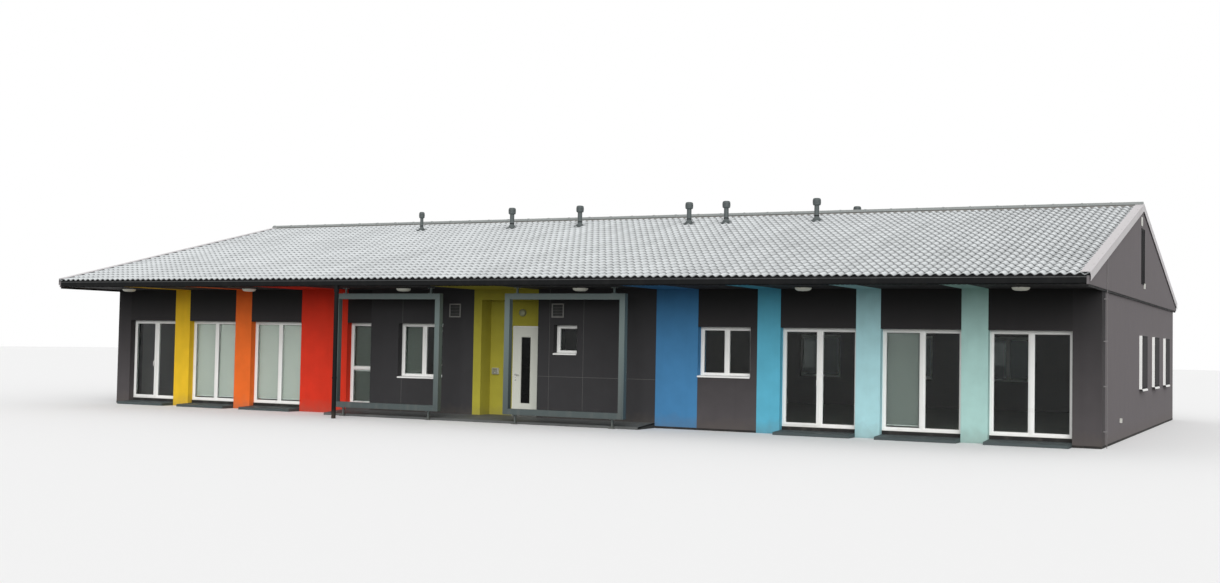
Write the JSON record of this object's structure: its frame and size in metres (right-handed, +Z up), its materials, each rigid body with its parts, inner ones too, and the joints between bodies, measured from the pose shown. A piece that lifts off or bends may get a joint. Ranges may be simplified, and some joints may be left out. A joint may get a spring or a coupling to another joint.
{
  "type": "school building",
  "caption": "Long single-storey kindergarten with a low gabled tile roof, a deep front eave, coloured piers between floor-length windows, and hinged entrance and terrace doors.",
  "frame": {"origin": "on the ground, under the middle of the roof", "axes": "+X along the front to the right, +Y from the front to the back, +Z up; the ridge lies over Y = 0"},
  "size_m": [25.157, 16.37, 5.4328],
  "materials": {
    "concrete": "rough",
    "dark_stone": "rough",
    "yellow_render": "matt render",
    "orange_render": "matt render",
    "red_render": "matt render",
    "green_render": "matt render",
    "blue_render": "matt render",
    "cyan_render": "matt render",
    "sky_render": "matt render",
    "mint_render": "matt render",
    "anthracite_render": "matt render",
    "ceiling_board": "matt",
    "dark_soffit": "matt",
    "dark_metal": "satin",
    "roof_sheet": "satin",
    "pale_flashing": "satin",
    "lamp_shell": "frosted",
    "white_frame": "satin",
    "white_door": "satin",
    "window_glass": "clear",
    "blue_grey_steel": "satin",
    "grille_grey": "matt",
    "pale_plastic": "matt",
    "bare_metal": "dull",
    "handle_steel": "brushed",
    "blind_fabric": "matt"
  },
  "bodies": {
    "building": {"floor_slab": "concrete", "entrance_platform": "dark_stone", "door_steps": "dark_stone", "end_piers": "anthracite_render", "pier_yellow": "yellow_render", "pier_orange": "orange_render", "pier_red": "red_render", "green_bay": "green_render", "pier_blue": "blue_render", "pier_cyan": "cyan_render", "pier_sky": "sky_render", "pier_mint": "mint_render", "bay_walls": "anthracite_render", "middle_walls": "anthracite_render", "back_wall": "anthracite_render", "side_walls": "anthracite_render", "gables": "anthracite_render", "ceiling": "ceiling_board", "eaves": "dark_soffit", "gutters": "dark_metal", "roof_front": "roof_sheet", "roof_back": "roof_sheet", "verge_caps": "pale_flashing", "ridge_cap": "dark_metal", "roof_vents": "dark_metal", "soffit_lamps": "lamp_shell", "downpipes": "dark_metal", "front_window_frames": "white_frame", "front_window_glass": "window_glass", "rear_window_frames": "white_frame", "rear_window_glass": "window_glass", "window_sills": "white_frame", "window_blinds": "blind_fabric", "steel_frames": "blue_grey_steel", "wall_grilles": "grille_grey", "wall_fittings": "pale_plastic", "conductor_rod": "bare_metal", "door_frame": "white_door", "terrace_door_frames": "white_frame"},
    "entrance_door": {"door_leaf": "white_door", "door_glass": "window_glass", "door_handle": "handle_steel"},
    "terrace_door_left": {"terrace_door_left": "white_frame", "terrace_glass_left": "window_glass"},
    "terrace_door_right": {"terrace_door_right": "white_frame", "terrace_glass_right": "window_glass"}
  },
  "joints": [
    {"name": "entrance_hinge", "type": "hinge", "parent": "building", "child": "entrance_door", "pos_m": [0.35, -5.771, 0], "axis": [0, 0, 1], "range_deg": [0, 90]},
    {"name": "terrace_hinge_left", "type": "hinge", "parent": "building", "child": "terrace_door_left", "pos_m": [-12.038, -6.046, 0], "axis": [0, 0, -1], "range_deg": [0, 90]},
    {"name": "terrace_hinge_right", "type": "hinge", "parent": "building", "child": "terrace_door_right", "pos_m": [6.172, -6.046, 0], "axis": [0, 0, -1], "range_deg": [0, 90]}
  ]
}
